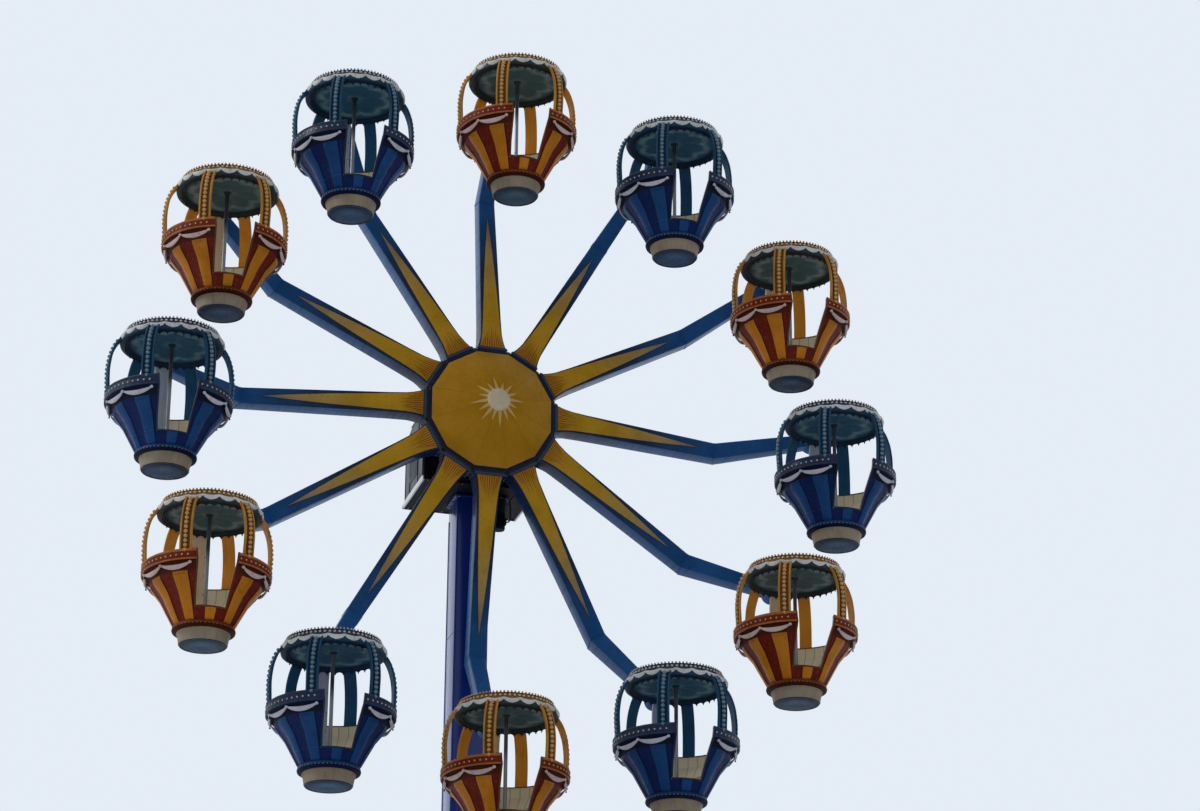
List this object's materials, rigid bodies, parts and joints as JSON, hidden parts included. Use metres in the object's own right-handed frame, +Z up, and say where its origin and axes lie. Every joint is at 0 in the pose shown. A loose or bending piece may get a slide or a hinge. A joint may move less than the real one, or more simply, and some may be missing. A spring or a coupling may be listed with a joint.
{
  "type": "ferris wheel",
  "caption": "Upright fairground wheel on one column, with bent arms and level round gondolas with domed canopies.",
  "frame": {"origin": "centre of the base plate's underside, under the column", "axes": "+Z up, -Y the front, along the axle towards the hub cap, +X to the right seen from the front"},
  "size_m": [12.764, 4.3787, 13.76],
  "materials": {
    "arm_blue": "gloss blue paint",
    "column_blue": "gloss blue paint",
    "cap_yellow": "glossy moulding",
    "rim_navy": "satin navy paint",
    "machine_grey": "satin dark paint",
    "housing_white": "pale satin paint",
    "basket_orange": "glossy moulding",
    "basket_blue": "glossy moulding",
    "canopy_orange": "glossy moulding",
    "canopy_blue": "glossy moulding"
  },
  "bodies": {
    "tower": {"base_plate": "column_blue", "column": "column_blue", "machine_floor": "machine_grey", "machine_housing": "housing_white", "slewing_bearing": "machine_grey", "drive_motor": "machine_grey"},
    "wheel": {"hub_drum": "rim_navy", "hub_cap": "cap_yellow", "arm_01": "arm_blue", "arm_02": "arm_blue", "arm_03": "arm_blue", "arm_04": "arm_blue", "arm_05": "arm_blue", "arm_06": "arm_blue", "arm_07": "arm_blue", "arm_08": "arm_blue", "arm_09": "arm_blue", "arm_10": "arm_blue", "arm_11": "arm_blue", "arm_12": "arm_blue"},
    "gondola_01": {"basket_01": "basket_orange", "canopy_01": "canopy_orange"},
    "gondola_02": {"basket_02": "basket_blue", "canopy_02": "canopy_blue"},
    "gondola_03": {"basket_03": "basket_orange", "canopy_03": "canopy_orange"},
    "gondola_04": {"basket_04": "basket_blue", "canopy_04": "canopy_blue"},
    "gondola_05": {"basket_05": "basket_orange", "canopy_05": "canopy_orange"},
    "gondola_06": {"basket_06": "basket_blue", "canopy_06": "canopy_blue"},
    "gondola_07": {"basket_07": "basket_orange", "canopy_07": "canopy_orange"},
    "gondola_08": {"basket_08": "basket_blue", "canopy_08": "canopy_blue"},
    "gondola_09": {"basket_09": "basket_orange", "canopy_09": "canopy_orange"},
    "gondola_10": {"basket_10": "basket_blue", "canopy_10": "canopy_blue"},
    "gondola_11": {"basket_11": "basket_orange", "canopy_11": "canopy_orange"},
    "gondola_12": {"basket_12": "basket_blue", "canopy_12": "canopy_blue"}
  },
  "joints": [
    {"name": "wheel_spin", "type": "hinge", "parent": "tower", "child": "wheel", "pos_m": [0, -1.3, 8.2], "axis": [0, -1, 0], "continuous": true},
    {"name": "gondola_01_pivot", "type": "hinge", "parent": "wheel", "child": "gondola_01", "pos_m": [0, -1.57, 13.61], "axis": [0, -1, 0], "continuous": true},
    {"name": "gondola_02_pivot", "type": "hinge", "parent": "wheel", "child": "gondola_02", "pos_m": [2.705, -1.57, 12.8852], "axis": [0, -1, 0], "continuous": true},
    {"name": "gondola_03_pivot", "type": "hinge", "parent": "wheel", "child": "gondola_03", "pos_m": [4.6852, -1.57, 10.905], "axis": [0, -1, 0], "continuous": true},
    {"name": "gondola_04_pivot", "type": "hinge", "parent": "wheel", "child": "gondola_04", "pos_m": [5.41, -1.57, 8.2], "axis": [0, -1, 0], "continuous": true},
    {"name": "gondola_05_pivot", "type": "hinge", "parent": "wheel", "child": "gondola_05", "pos_m": [4.6852, -1.57, 5.495], "axis": [0, -1, 0], "continuous": true},
    {"name": "gondola_06_pivot", "type": "hinge", "parent": "wheel", "child": "gondola_06", "pos_m": [2.705, -1.57, 3.5148], "axis": [0, -1, 0], "continuous": true},
    {"name": "gondola_07_pivot", "type": "hinge", "parent": "wheel", "child": "gondola_07", "pos_m": [0, -1.57, 2.79], "axis": [0, -1, 0], "continuous": true},
    {"name": "gondola_08_pivot", "type": "hinge", "parent": "wheel", "child": "gondola_08", "pos_m": [-2.705, -1.57, 3.5148], "axis": [0, -1, 0], "continuous": true},
    {"name": "gondola_09_pivot", "type": "hinge", "parent": "wheel", "child": "gondola_09", "pos_m": [-4.6852, -1.57, 5.495], "axis": [0, -1, 0], "continuous": true},
    {"name": "gondola_10_pivot", "type": "hinge", "parent": "wheel", "child": "gondola_10", "pos_m": [-5.41, -1.57, 8.2], "axis": [0, -1, 0], "continuous": true},
    {"name": "gondola_11_pivot", "type": "hinge", "parent": "wheel", "child": "gondola_11", "pos_m": [-4.6852, -1.57, 10.905], "axis": [0, -1, 0], "continuous": true},
    {"name": "gondola_12_pivot", "type": "hinge", "parent": "wheel", "child": "gondola_12", "pos_m": [-2.705, -1.57, 12.8852], "axis": [0, -1, 0], "continuous": true}
  ],
  "couplings": [
    {"joint": "gondola_01_pivot", "follows": "wheel_spin", "ratio": -1},
    {"joint": "gondola_02_pivot", "follows": "wheel_spin", "ratio": -1},
    {"joint": "gondola_03_pivot", "follows": "wheel_spin", "ratio": -1},
    {"joint": "gondola_04_pivot", "follows": "wheel_spin", "ratio": -1},
    {"joint": "gondola_05_pivot", "follows": "wheel_spin", "ratio": -1},
    {"joint": "gondola_06_pivot", "follows": "wheel_spin", "ratio": -1},
    {"joint": "gondola_07_pivot", "follows": "wheel_spin", "ratio": -1},
    {"joint": "gondola_08_pivot", "follows": "wheel_spin", "ratio": -1},
    {"joint": "gondola_09_pivot", "follows": "wheel_spin", "ratio": -1},
    {"joint": "gondola_10_pivot", "follows": "wheel_spin", "ratio": -1},
    {"joint": "gondola_11_pivot", "follows": "wheel_spin", "ratio": -1},
    {"joint": "gondola_12_pivot", "follows": "wheel_spin", "ratio": -1}
  ]
}
